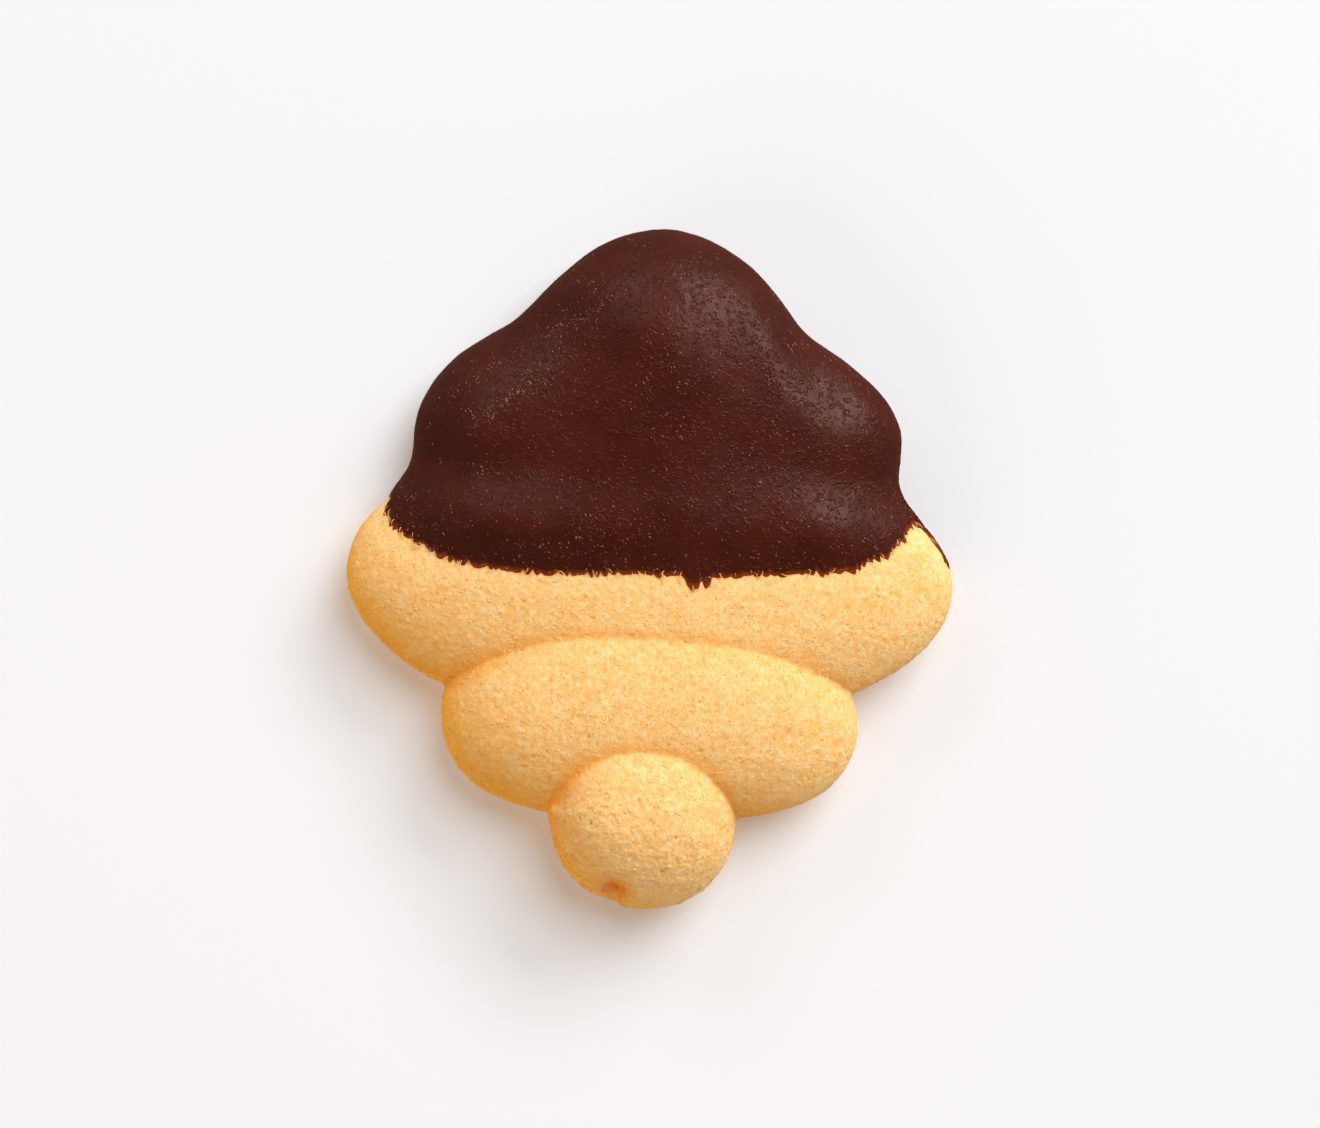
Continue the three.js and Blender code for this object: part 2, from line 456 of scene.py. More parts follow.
# The same squared height for the dipped lobes together, with their creases filled.
def coatField(x, y, grow, settled):
    coat = chocolateCoat
    shapes = [pipedLobes[name] for name in dippedLobes] + ([coat["pool"]] if settled else [])
    fields = np.stack([lobeField(lobe, x, y, grow) for lobe in shapes])
    highest = fields.max(0)
    part = np.exp(-(np.maximum(highest, 0) / coat["footBand"]) ** 2)
    fill = coat["topFill" if settled else "thinFill"] * (1 - part) + coat["footFill"] * part
    return highest + fill * np.log(np.exp((fields - highest) / fill).sum(0))


def swellHeight(x, y):
    total = 0.0
    for swell in coatSwells.values():
        turn = math.radians(swell["turn"])
        dx = x - swell["x"]
        dy = y - swell["y"]
        u = (dx * math.cos(turn) + dy * math.sin(turn)) / swell["along"]
        v = (dy * math.cos(turn) - dx * math.sin(turn)) / swell["across"]
        total = total + swell["height"] * np.exp(-u * u - v * v)
    return total


# The left and right side of the coat, along Y.
def outlineTable(grow):
    xs = np.arange(*chocolateCoat["tableX"])
    ys = np.arange(*chocolateCoat["tableY"])
    gridX, gridY = np.meshgrid(xs, ys)
    inside = coatField(gridX, gridY, grow, True) > 0
    filled = inside.any(1)
    left = xs[inside[filled].argmax(1)]
    right = xs[len(xs) - 1 - inside[filled][:, ::-1].argmax(1)]
    return ys[filled], left, right


# The dip edge before its waves and fingers, over and under the cookie.
def dipEdgeOffsets(share, onTop):
    edge = dipEdge
    leftPart = np.where(share < 0, -share, 0)
    rightPart = np.where(share > 0, share, 0)
    hook = np.clip((rightPart - edge["hookStart"]) / (edge["hookEnd"] - edge["hookStart"]), 0, 1)
    hook = hook * hook * (3 - 2 * hook)
    top = edge["middle"] + edge["tilt"] * share + edge["leftRise"] * leftPart ** edge["leftCurl"]
    climb = edge["rightRise"] * rightPart ** edge["rightCurl"]
    power = edge["levelling"]
    levelled = climb / (1 + (climb / edge["rightTop"]) ** power) ** (1 / power)
    top = top + levelled - edge["rightHook"] * hook
    leftEnd = edge["middle"] - edge["tilt"] + edge["leftRise"]
    rightEnd = edge["middle"] + edge["tilt"] + edge["rightTop"] - edge["rightHook"]
    ends = np.where(share < 0, leftEnd, rightEnd)
    under = edge["underMiddle"] + (ends - edge["underMiddle"]) * np.abs(share) ** edge["underCurl"]
    return np.where(onTop, top, under)


# How far behind the edge the coat starts to thicken: late where it runs down the outer wall.
def thickeningDelay(share, onTop):
    edge = dipEdge
    start = np.where(onTop, edge["hookStart"], edge["underStart"])
    hook = np.clip((share - start) / (np.where(onTop, edge["hookEnd"], 1.0) - start), 0, 1)
    return edge["rightHook"] * hook


# Waves, round fingers and drips of the edge. Along is the distance along it.
def raggedOffset(spot, along):
    edge = dipEdge
    offset = 0.0
    for number, (length, height) in enumerate(edge["waves"]):
        offset += height * wander(spot, length, (7.3 * number, 2.1, 5.7))
    driftLength, drift = edge["fingerDrift"]
    phase = along / edge["fingerSpacing"] + drift * wander(spot, driftLength, (31.0, 4.0, 9.0))
    finger = math.sqrt(abs(math.sin(math.pi * phase)))
    swingLength, share = edge["fingerSwing"]
    swing = 1.0 + share * wander(spot, swingLength, (5.0, 1.0, 3.0))
    sideways = min(1.0, edge["calmShare"] + abs(spot.x - edge["calmX"]) / edge["calmReach"])
    offset -= edge["fingerReach"] * (finger - edge["fingerMiddle"]) * swing * sideways
    nibble = abs(wander(spot, edge["nibbleLength"], (2.0, 14.0, 6.0)))
    offset += edge["nibbleReach"] * (edge["nibbleMiddle"] - nibble)
    if spot.z > cookieLevels["belly"]:
        for x, half, reach in edge["drips"]:
            offset -= reach * math.exp(-((spot.x - x) / half) ** 4)
    return offset


# Where the coat's surface lies, for places along Y and shares of the half width.
class CoatShape:
    def __init__(self):
        self.thin = outlineTable(0.0)
        self.full = outlineTable(cookieLevels["cover"])
        self.top = self.full[0][-1]

    def sides(self, y, grow):
        part = grow / cookieLevels["cover"]
        found = []
        for side in (1, 2):
            thin = np.interp(y, self.thin[0], self.thin[side])
            full = np.interp(y, self.full[0], self.full[side])
            found.append(thin + (full - thin) * part)
        return found

    # behind is the distance from the edge, over which the chocolate comes to its full swell
    def place(self, y, share, onTop, grow, behind=0.0):
        coat = chocolateCoat
        left, right = self.sides(y, grow)
        x = (left + right) / 2 + (right - left) / 2 * share
        film = np.sqrt(np.maximum(coatField(x, y, grow, False), 0))
        full = np.sqrt(np.maximum(coatField(x, y, grow, True), 0))
        extra = swellHeight(x, y) * np.clip(full / coat["swellFoot"], 0, 1) * onTop
        settled = np.where(onTop, 1 - np.exp(-(behind / coat["settling"]) ** 2), behind > 0)
        height = film + (full + extra - film) * settled
        # the very sides meet at the belly, whatever the tables' rounding
        height = height * np.clip((1 - np.abs(share)) / 0.0001, 0, 1)
        above = cookieLevels["belly"] + height
        floor = cookieLevels["base"] - grow
        soft = coat["floorRound"]
        below = floor + soft * np.logaddexp(0, (cookieLevels["belly"] - height - floor) / soft)
        below = np.minimum(below, cookieLevels["belly"])
        return np.stack([x, y, np.where(onTop, above, below)], -1)


# The coat's columns, once round it: from right to left over the top, and back beneath.
def coatColumns():
    coat = chocolateCoat
    topTurns = np.linspace(0, math.pi, coat["topColumns"], endpoint=False)
    topTurns = topTurns + coat["columnCrowding"] * np.sin(2 * topTurns)
    underTurns = np.linspace(math.pi, 2 * math.pi, coat["underColumns"], endpoint=False)
    turns = np.concatenate([topTurns, underTurns])
    return np.cos(turns), np.arange(len(turns)) < coat["topColumns"]


# How far the coat stands off the dough at a distance behind the edge.
def outerGrow(run, delay):
    coat = chocolateCoat
    cover = cookieLevels["cover"]
    near = 1 - np.clip(run / coat["lipRound"], 0, 1)
    lip = coat["lip"] * (1 - 0.5 * delay / dipEdge["rightHook"])
    thick = cover - (cover - lip) * np.exp(-np.maximum(run - delay, 0) / coat["lipGrowth"])
    return coat["sunk"] + (thick - coat["sunk"]) * np.sqrt(1 - near * near)


# Parts of the way from the edge to the nose at which the rows lie, outside and inside.
def rowParts(edgeToNose):
    coat = chocolateCoat
    steps = np.linspace(0, 1, coat["rows"])
    ease = coat["rowCrowding"]
    far = 1 - (np.sqrt((1 - steps) ** 2 + ease ** 2) - ease) / (math.sqrt(1 + ease ** 2) - ease)
    lip = np.array(coat["lipRows"]) / edgeToNose
    outer = np.concatenate([lip, far[far > coat["lipRowsEnd"] / edgeToNose]])[:-1]
    lining = np.linspace(0, 1, coat["liningRows"])[1:-1]
    return outer, lining


# Closes the rings into one skin, from the nose over the edge to the middle of the lining.
def skinMesh(rings, runs):
    count = len(rings[0])
    last = (len(rings) - 1) * count
    nose = rings[0].mean(0) + (0, 0.003, 0)  # just beyond the first ring
    points = np.concatenate([*rings, [nose], [rings[-1].mean(0)]])
    faces = wallFaces(len(rings), count)
    for k in range(count):
        after = (k + 1) % count
        faces.append((len(points) - 2, after, k))
        faces.append((len(points) - 1, last + k, last + after))
    mesh = meshFrom("chocolate_dip", points, faces)
    # the nose is far from the edge, and the lining counts as the edge
    storeFloat(mesh, "edgeRun", np.concatenate([*runs, [30.0], [0.0]]))
    return mesh


def makeCoatSkin():
    shape = CoatShape()
    share, onTop = coatColumns()
    edgeY = dipEdgeOffsets(share, onTop)
    delay = thickeningDelay(share, onTop)
    edgePlaces = shape.place(edgeY, share, onTop, np.zeros(len(share)))
    steps = np.linalg.norm(np.diff(edgePlaces, axis=0, prepend=edgePlaces[:1]), axis=1)
    spots = [Vector(spot) for spot in edgePlaces]
    ragged = np.array([raggedOffset(spot, along) for spot, along in zip(spots, np.cumsum(steps))])
    # the raggedness runs square to the edge, but straight along Y at the very sides
    ahead = np.gradient(edgePlaces[:, :2], axis=0)
    square = np.stack([-ahead[:, 1], ahead[:, 0]]) * np.sign(ahead[:, 0])
    square[0] *= np.clip((1 - np.abs(share)) / dipEdge["plainSides"], 0, 1)
    square /= np.maximum(np.hypot(*square), 0.000001)
    left, right = shape.sides(edgeY, 0.0)
    halfWidth = (right - left) / 2

    def ringAt(part, lining=False):
        run = (shape.top - edgeY) * part
        push = ragged * np.exp(-run / dipEdge["raggedDepth"]) * (1 - part)
        y = np.minimum(edgeY + run + push * square[1], shape.top - chocolateCoat["noseGap"])
        pushedShare = share + push * square[0] / halfWidth
        if lining:
            grow = np.full_like(run, chocolateCoat["sunk"])
            return shape.place(y, pushedShare, onTop, grow), np.zeros(len(run))
        return shape.place(y, pushedShare, onTop, outerGrow(run, delay), run), run

    outerParts, liningParts = rowParts(shape.top - dipEdge["middle"])
    rings = [ringAt(part) for part in outerParts[::-1]]
    edgeRing = rings[-1][0]
    rings += [ringAt(part, lining=True) for part in liningParts]
    mesh = skinMesh(*zip(*rings))
    print("dipped to an edge of", len(share), "points")
    edgeShare = share + ragged * square[0] / halfWidth
    return mesh, edgeRing[onTop], edgeShare[onTop], shape


def chocolateReliefTree():
    sizes = dict(chocolateCoat["relief"], Material="NodeSocketMaterial")
    tree, given = startTree("chocolateRelief", sizes)
    place = addNode(tree, "GeometryNodeInputPosition").outputs[0]
    height = (noiseAt(tree, place, given["Swell Size"], 1.0) - 0.5) * given["Swell Height"]
    pucker = (noiseAt(tree, place, given["Pucker Size"]) - 0.5) * given["Pucker Height"]
    turned = addNode(tree, "ShaderNodeVectorRotate", {
        "Vector": place, "Angle": given["Stroke Turn"]}, rotation_type="Z_AXIS").outputs[0]
    alongStroke, acrossStroke, z = splitXYZ(tree, turned)
    slimming = given["Stroke Size"] / given["Stroke Length"]
    strokePlace = joinXYZ(tree, alongStroke * slimming, acrossStroke, z)
    stroke = noiseAt(tree, strokePlace, given["Stroke Size"], 1.0, 0.4) - 0.5
    stroke = stroke * given["Stroke Height"]
    curls = curlsAt(tree, place, given["Curl Size"], given["Curl Width"]) * given["Curl Height"]
    height = (height + pucker + stroke) * 2.0 + curls
    floorward = splitXYZ(tree, place)[2].remap(0.2, 1.6)  # the underside stays on the table
    height = height * readFloat(tree, "edgeRun").remap(0.0, 1.5) * floorward
    endTree(tree, pushOut(tree, given["Geometry"], height), given["Material"])
    return tree


chocolateFinish = {
    "deep": (0.054, 0.0094, 0.0049, 1),
    "warm": (0.068, 0.0118, 0.0063, 1),
    "thin": (0.34, 0.052, 0.010, 1),
    "thinWidth": 0.55,  # millimetres over which the thin edge turns dark
    "thinShare": 0.9,
    "cloudSize": 5.0,
    "shader": {"IOR": 1.35, "Specular Tint": (1.0, 0.9, 0.86, 1)},
    "roughness": (0.32, 0.42),
    "roughnessSize": 2.2,
    # the leathery grain: broken rings of a size, radius and width, wrinkles and fine noise
    "rings": [(0.95, 0.3, 0.13), (0.6, 0.2, 0.1)],
    "ringHeight": 3.2,
    "wrinkleSize": 1.2,
    "wrinkleHeight": 0.25,
    "grainSize": 0.25,
    "grainHeight": 2.6,
    "reliefDepth": 0.011,
}


def chocolateMaterial():
    material, tree, shader = newMaterial("darkChocolate")
    finish = chocolateFinish
    place = objectPlace(tree)
    cloud = noiseAt(tree, place, finish["cloudSize"], 3.0).remap(0.35, 0.65)
    run = attributeOf(tree, "edgeRun") + (noiseAt(tree, place, 0.5) - 0.5) * 0.5
    thin = run.remap(finish["thinWidth"], 0.0, 0.0, finish["thinShare"])
    colour = layColours(tree, finish["deep"], finish, [(cloud, "warm"), (thin, "thin")])
    tree.links.new(colour.socket, shader.inputs["Base Color"])
    setSockets(shader, finish["shader"])
    roughness = noiseAt(tree, place, finish["roughnessSize"], 4.0).remap(0.3, 0.7, *finish["roughness"])
    tree.links.new(roughness.socket, shader.inputs["Roughness"])
    wide, narrow = [ringsAt(tree, place, *ring) for ring in finish["rings"]]
    waves = (noiseAt(tree, place, finish["wrinkleSize"], 1.0, 0.8) * 24.0).math("SINE")
    leather = (wide + narrow) * finish["ringHeight"] + waves * finish["wrinkleHeight"]
    leather = leather + noiseAt(tree, place, finish["grainSize"], 2.0, 0.6) * finish["grainHeight"]
    addBump(tree, shader, leather, 1.0, finish["reliefDepth"])
    return material


# The baked dough under and below the chocolate.
bakedDough = {
    "voxel": 0.17,
    "softening": 5,  # smoothing passes over the pressed creases
    "triangles": 192000,
    "hiddenDepth": 1.0,  # this far under the chocolate its mesh is thinned
    "hiddenFoot": 0.1,  # and this far above the base
    "thinning": 8.0,
    "markedAbove": 0.7,  # share of the belly's height above which it is marked by hand
    "seamWidth": 1.1,
    "seamLead": 1.5,  # a lobe that stands this much higher hides the seam
    "seamSlope": 0.2,
    "footHeight": 1.2,  # the relief comes to its full height this far above the base
    "footShare": 0.25,
    "reliefDepth": 1.6,  # and dies away to this depth under the chocolate
    "reliefShare": 0.1,
    "crumbFoot": 0.3,  # loose crumb starts this far above the base
    "crumbPatches": {"size": 2.6, "middle": 0.75, "swing": 0.9, "least": 0.3, "most": 1.2},
    "paintedShadeFacing": (-0.72, -0.6, -0.35),  # the way the side with painted shade faces, away from the main light
    "tipBlend": 8,
    "tipPaleness": 0.3,  # how much less painted shade the tip gets
    "tipRoughness": 0.7,  # and this much rougher
    "tipCrumb": 0.6,
    "relief": {
        "Swell Size": 4.5, "Swell Height": 0.16,
        "Lump Size": 1.25, "Lump Height": 0.11,
        "Grain Size": 0.5, "Grain Height": 0.15,
        "Pore Size": 1.2, "Pore Depth": 0.12,
    },
}

# Dents (positive depth) and nubs that the piping and baking left, in millimetres. The dents carry
# painted shade in deep orange.
handMarks = [
    {"x": -3.4, "y": -28.2, "radius": 1.0, "depth": 0.75, "scorch": 1.0},
    {"x": -2.6, "y": -28.4, "radius": 0.7, "depth": 0.5, "scorch": 0.9},
    {"x": -8.2, "y": -21.2, "radius": 0.55, "depth": -0.45, "scorch": 0.0},
    {"x": -7.0, "y": -24.7, "radius": 0.5, "depth": -0.25, "scorch": 0.0},
    {"x": 12.0, "y": -14.3, "radius": 0.4, "depth": 0.08, "scorch": 0.4},
    {"x": 16.6, "y": -15.2, "radius": 0.45, "depth": 0.08, "scorch": 0.4},
    {"x": 14.7, "y": -16.1, "radius": 0.3, "depth": 0.07, "scorch": 0.35},
    {"x": 16.2, "y": -17.4, "radius": 0.35, "depth": 0.08, "scorch": 0.35},
]


def joinMeshes(name, sources):
    points = []
    faces = []
    for source in sources:
        start = len(points)
        points += [vertex.co[:] for vertex in source.data.vertices]
        faces += [[start + index for index in face.vertices] for face in source.data.polygons]
        bpy.data.objects.remove(source)
    return meshFrom(name, points, faces)


def softUnion(target):
    remesh = target.modifiers.new("union", "REMESH")
    remesh.mode = "VOXEL"
    remesh.voxel_size = bakedDough["voxel"]
    smooth = target.modifiers.new("soften", "SMOOTH")
    smooth.iterations = bakedDough["softening"]
    settle(target)


# How far each point of the dough lies behind the dip edge, in millimetres along Y.
def depthUnderCoat(points, edgeTop, edgeShare, shape):
    left, right = shape.sides(points[:, 1], 0.0)
    share = (points[:, 0] - (left + right) / 2) / np.maximum((right - left) / 2, 0.001)
    share = np.clip(share, -1, 1)
    order = np.argsort(edgeShare)
    edgeY = np.interp(share, edgeShare[order], edgeTop[order, 1])
    underY = dipEdgeOffsets(share, False)
    onTop = points[:, 2] > cookieLevels["belly"]
    return points[:, 1] - np.where(onTop, edgeY, underY)


# Takes triangles away, mostly where they don't show.
def thinHiddenMesh(target, hidden):
    group = target.vertex_groups.new(name="hidden")
    group.add(np.flatnonzero(hidden).tolist(), 1.0, "REPLACE")
    decimate = target.modifiers.new("thin", "DECIMATE")
    decimate.ratio = min(1.0, bakedDough["triangles"] / triangleCount(target.data))
    decimate.vertex_group = "hidden"
    decimate.vertex_group_factor = bakedDough["thinning"]
    settle(target)
    target.vertex_groups.clear()


# How far the highest lobe stands above the next, over points of the plan.
def lobeLead(x, y):
    fields = np.stack([lobeField(lobe, x, y) for lobe in pipedLobes.values()])
    ranked = np.sort(np.sign(fields) * np.sqrt(np.abs(fields)), 0)
    return ranked[-1] - ranked[-2]


# 1 along the creases between lobes, falling away to both sides.
def seamCloseness(points):
    x = points[:, 0]
    y = points[:, 1]
    step = 0.05  # half the span over which the slope is taken
    slopeX = (lobeLead(x + step, y) - lobeLead(x - step, y)) / (2 * step)
    slopeY = (lobeLead(x, y + step) - lobeLead(x, y - step)) / (2 * step)
    lead = lobeLead(x, y)
    slope = np.maximum(np.hypot(slopeX, slopeY), bakedDough["seamSlope"])
    away = lead / slope / bakedDough["seamWidth"]
    apart = np.maximum(lead - bakedDough["seamLead"], 0)
    return np.exp(-away * away - apart * apart)


def pressMarks(mesh):
    points = vectorsOf(mesh.vertices)
    normals = vectorsOf(mesh.vertex_normals, "vector")
    scorch = np.zeros(len(points))
    onTop = points[:, 2] > cookieLevels["belly"] * bakedDough["markedAbove"]
    for mark in handMarks:
        away = np.hypot(points[:, 0] - mark["x"], points[:, 1] - mark["y"]) / mark["radius"]
        bump = np.exp(-away * away) * onTop
        points = points - normals * (bump * mark["depth"])[:, None]
        # the dents' painted shade
        scorch = np.maximum(scorch, bump * mark["scorch"])
    movePoints(mesh, points)
    storeFloat(mesh, "scorch", scorch)


def distanceTo(points, places):
    tree = kdtree.KDTree(len(places))
    for k, place in enumerate(places):
        tree.insert(place, k)
    tree.balance()
    return np.array([tree.find(point)[2] for point in points])


def crumbReliefTree():
    sizes = dict(bakedDough["relief"], Material="NodeSocketMaterial")
    tree, given = startTree("crumbRelief", sizes)
    place = addNode(tree, "GeometryNodeInputPosition").outputs[0]
    swell = (noiseAt(tree, place, given["Swell Size"], 1.5) - 0.5) * given["Swell Height"] * 2.0
    lump = noiseAt(tree, place, given["Lump Size"], 1.0, 0.5) - 0.5
    grain = noiseAt(tree, place, given["Grain Size"], 1.5, 0.7) - 0.5
    pores = addNode(tree, "ShaderNodeTexVoronoi", {"Vector": place, "Scale": 1 / given["Pore Size"]})
    chosen = splitXYZ(tree, pores.outputs["Color"])[0].math("GREATER_THAN", 0.5)
    pore = Flow(tree, pores.outputs["Distance"]).remap(0.2, 0.06) * chosen
    height = swell + lump * given["Lump Height"] + grain * given["Grain Height"]
    height = (height - pore * given["Pore Depth"]) * readFloat(tree, "rough")
    raised = pushOut(tree, given["Geometry"], height)
    for name, value in (("grain", grain), ("pore", pore)):
        raised = flow(tree, "GeometryNodeStoreNamedAttribute", {
            "Geometry": raised, "Name": name, "Value": value}, data_type="FLOAT", domain="POINT")
    endTree(tree, raised, given["Material"])
    return tree


# 0 on the other lobes and 1 well out on the tip.
def tipShare(points):
    tip, short = [lobeField(pipedLobes[name], points[:, 0], points[:, 1]) for name in ("tip", "short")]
    return np.clip((tip - short) / bakedDough["tipBlend"], 0, 1)


# Stores what the relief, the materials and the scattered crumb read from each point.
def storeCrust(mesh, edgeTop, edgeShare, shape):
    baked = bakedDough
    points = vectorsOf(mesh.vertices)
    depth = depthUnderCoat(points, edgeTop, edgeShare, shape)
    height = points[:, 2] - cookieLevels["base"]
    tipward = tipShare(points)
    storeFloat(mesh, "seam", seamCloseness(points))
    storeFloat(mesh, "edgeAway", distanceTo(points, edgeTop))
    rough = np.clip(height / baked["footHeight"], baked["footShare"], 1)
    rough = rough * np.clip(baked["reliefDepth"] - depth, baked["reliefShare"], 1)
    storeFloat(mesh, "rough", rough * (1 + baked["tipRoughness"] * tipward))
    bare = np.clip(0.5 - depth * 4, 0, 1) * (points[:, 2] > cookieLevels["base"] + baked["crumbFoot"])
    patch = baked["crumbPatches"]
    patches = np.array([wander(Vector(point), patch["size"], (9.0, 4.0, 2.0)) for point in points])
    patches = np.clip(patch["middle"] + patch["swing"] * patches, patch["least"], patch["most"])
    storeFloat(mesh, "crumbly", bare * (patches + baked["tipCrumb"] * tipward))
    # Painted shade: the crust is coloured more orange on the side facing away from the main light, less
    # so on the tip.
    browned = vectorsOf(mesh.vertex_normals, "vector") @ np.array(baked["paintedShadeFacing"])
    storeFloat(mesh, "browned", browned - baked["tipPaleness"] * tipward)


def makeBiscuit(edgeTop, edgeShare, shape, material):
    lobes = lobeTree()
    pieces = [pipeLobe(lobes, name, lobe, material) for name, lobe in pipedLobes.items()]
    print("piped", len(pieces), "lobes")
    dough = newObject("biscuit_dough", joinMeshes("biscuit_dough", pieces))
    softUnion(dough)
    points = vectorsOf(dough.data.vertices)
    depth = depthUnderCoat(points, edgeTop, edgeShare, shape)
    foot = cookieLevels["base"] + bakedDough["hiddenFoot"]
    thinHiddenMesh(dough, (depth > bakedDough["hiddenDepth"]) | (points[:, 2] < foot))
    pressMarks(dough.data)
    storeCrust(dough.data, edgeTop, edgeShare, shape)
    runTree(dough, crumbReliefTree(), dict(bakedDough["relief"], Material=material))
    print("baked the dough:", triangleCount(dough.data), "triangles")
    return dough


doughFinish = {
    "gold": (0.97, 0.57, 0.20, 1),
    "pale": (0.99, 0.70, 0.33, 1),
    "cream": (1.0, 0.77, 0.42, 1),
    "amber": (0.94, 0.47, 0.10, 1),
    "toasted": (0.93, 0.36, 0.035, 1),
    "shadeOrange": (0.99, 0.445, 0.05, 1),
    "deepOrange": (0.90, 0.25, 0.01, 1),
    "patchSize": 4.0,
    "cloudSize": 1.5,
    "spotSize": 1.1,
    "seamDriftSize": 1.1,
    "crumbSize": 0.34,
    "curls": [(0.85, 0.28, 0.1), (0.55, 0.17, 0.08)],  # size, radius and width of the broken rings
    "curlShare": 0.85,
    "footTop": 6.5,  # the foot browns from here down
    "footBottom": 1.5,
    "leastPale": 0.15,  # how much of the pale crumb is left on the side with painted shade
    "crumbRelief": 1.5,
    "curlRelief": 1.1,
    "reliefShare": 0.42,
    "reliefDepth": 0.05,
    "shader": {"Roughness": 0.9, "Specular IOR Level": 0.0, "Subsurface Weight": 0.25,
               "Subsurface Radius": (1.0, 0.9, 0.82), "Subsurface Scale": 0.35 * mm},
}


# The mottled gold of the crust, browner towards the foot, with painted shade in orange on the side away
# from the main light.
def crustColour(tree, place):
    finish = doughFinish
    patches = noiseAt(tree, place, finish["patchSize"], 3.0)
    spots = noiseAt(tree, place, finish["spotSize"], 3.0, 0.6)
    clouds = noiseAt(tree, place, finish["cloudSize"], 3.0, 0.4)
    browned = attributeOf(tree, "browned") + (noiseAt(tree, place, 3.0) - 0.5) * 0.5
    height = splitXYZ(tree, place)[2]
    return layColours(tree, finish["gold"], finish, [
        (patches.remap(0.42, 0.7, 0, 0.3), "amber"),
        (spots.remap(0.54, 0.7, 0, 0.45), "amber"),
        (clouds.remap(0.4, 0.7, 0.05, 0.5), "pale"),
        # painted shade in orange on the side facing away from the main light
        (browned.remap(-0.08, 0.6, 0, 1.0), "shadeOrange"),
        (height.remap(finish["footTop"], finish["footBottom"], 0, 0.8), "toasted"),
    ])


# Painted light: the crumb stays pale on the upper side and the side towards the main light, away from
# the painted shade and the foot.
def paintedLightSide(tree, place, least):
    finish = doughFinish
    litSide = attributeOf(tree, "browned").remap(0.2, -0.35, least, 1.0)
    height = splitXYZ(tree, place)[2]
    return litSide * height.remap(finish["footBottom"], finish["footTop"], 0.25, 1.0)


def doughMaterial():
    material, tree, shader = newMaterial("bakedDough")
    finish = doughFinish
    place = objectPlace(tree)
    grain = attributeOf(tree, "grain")
    wide, narrow = [ringsAt(tree, place, *ring) for ring in finish["curls"]]
    curls = wide.math("MAXIMUM", narrow)
    crumb = noiseAt(tree, place, finish["crumbSize"], 1.5, 0.8)
    # painted light: more pale crumb and curls on the side towards the main light
    paintedLight = paintedLightSide(tree, place, finish["leastPale"])
    drift = (noiseAt(tree, place, finish["seamDriftSize"], 2.0) - 0.5) * 0.8
    seam = attributeOf(tree, "seam") + drift
    shaded = attributeOf(tree, "browned").remap(-0.5, 0.1, 0.1, 0.9)
    edge = attributeOf(tree, "edgeAway")
    colour = layColours(tree, crustColour(tree, place), finish, [
        # painted shade in the hollows of the grain and crumb relief, amber and toasted, and paler
        # crests as painted light
        (grain.remap(0.0, -0.25, 0, 0.45), "amber"),
        (grain.remap(0.0, 0.28, 0, 0.5), "pale"),
        (crumb.remap(0.48, 0.72, 0, 0.5) * paintedLight, "cream"),
        (crumb.remap(0.46, 0.3, 0, 0.5), "toasted"),
        (curls * paintedLight * finish["curlShare"], "cream"),
        # painted shade along the creases between the lobes, kept to the side with painted shade
        (seam.remap(0.0, 0.6) * shaded * 0.5, "amber"),
        (seam.remap(0.35, 1.1) * shaded * 0.65, "toasted"),
        # painted shade in the pits
        (attributeOf(tree, "pore") * 0.5, "toasted"),
        # painted shade in the dents
        (attributeOf(tree, "scorch"), "deepOrange"),
        # paler a little way from the dip edge and deep orange right at it
        (edge.remap(2.4, 0.4, 0, 0.35), "pale"),
        (edge.remap(0.2, 0.0, 0, 0.7), "deepOrange"),
    ])
    tree.links.new(colour.socket, shader.inputs["Base Color"])
    setSockets(shader, finish["shader"])
    relief = crumb * finish["crumbRelief"] + curls * finish["curlRelief"]
    addBump(tree, shader, relief, finish["reliefShare"], finish["reliefDepth"])
    return material


# Small shapes scattered over a surface. Their density is per square millimetre, and angles
# are in degrees.
crumbFlakes = {
    "shapes": 9, "length": 0.6, "thick": 0.045, "curl": 1.3, "seed": 11,
    "scatter": {"Mask": "crumbly", "Density": 2.2, "Smallest": 0.5, "Largest": 1.2,
                "Heading": 0.0, "Spread": 180.0, "Lean": 8.0, "Sink": 0.035},
}
crumbNubs = {
    "shapes": 8, "size": 0.13, "seed": 23,
    "scatter": {"Mask": "crumbly", "Density": 1.8, "Smallest": 0.5, "Largest": 1.3,
                "Heading": 0.0, "Spread": 180.0, "Lean": 30.0, "Sink": 0.06},
}
edgeHairs = {
    "shapes": 6, "length": 0.75, "thick": 0.04, "curl": 1.0, "seed": 31,
    "reach": 0.5,  # they stand no further than this from the dip edge
    "scatter": {"Mask": "fringe", "Density": 3.2, "Smallest": 0.5, "Largest": 1.1,
                "Heading": 95.0, "Spread": 60.0, "Lean": 12.0, "Sink": -0.22},
}
chocolateSpecks = {
    "shapes": 5, "size": 0.065, "length": 0.3, "thick": 0.04, "curl": 0.9, "seed": 47,
    "dull": (0.14, 0.05, 0.034, 1), "pale": (0.34, 0.16, 0.12, 1),
    "scatter": {"Mask": "dusty", "Density": 2.7, "Smallest": 0.5, "Largest": 1.35,
                "Heading": -50.0, "Spread": 35.0, "Lean": 8.0, "Sink": 0.02},
}


def chance(tree, low, high, seed):
    inputs = {2: low, 3: high, "Seed": seed}  # 2 and 3 are the limits of a float
    return flow(tree, "FunctionNodeRandomValue", inputs, 1, data_type="FLOAT")


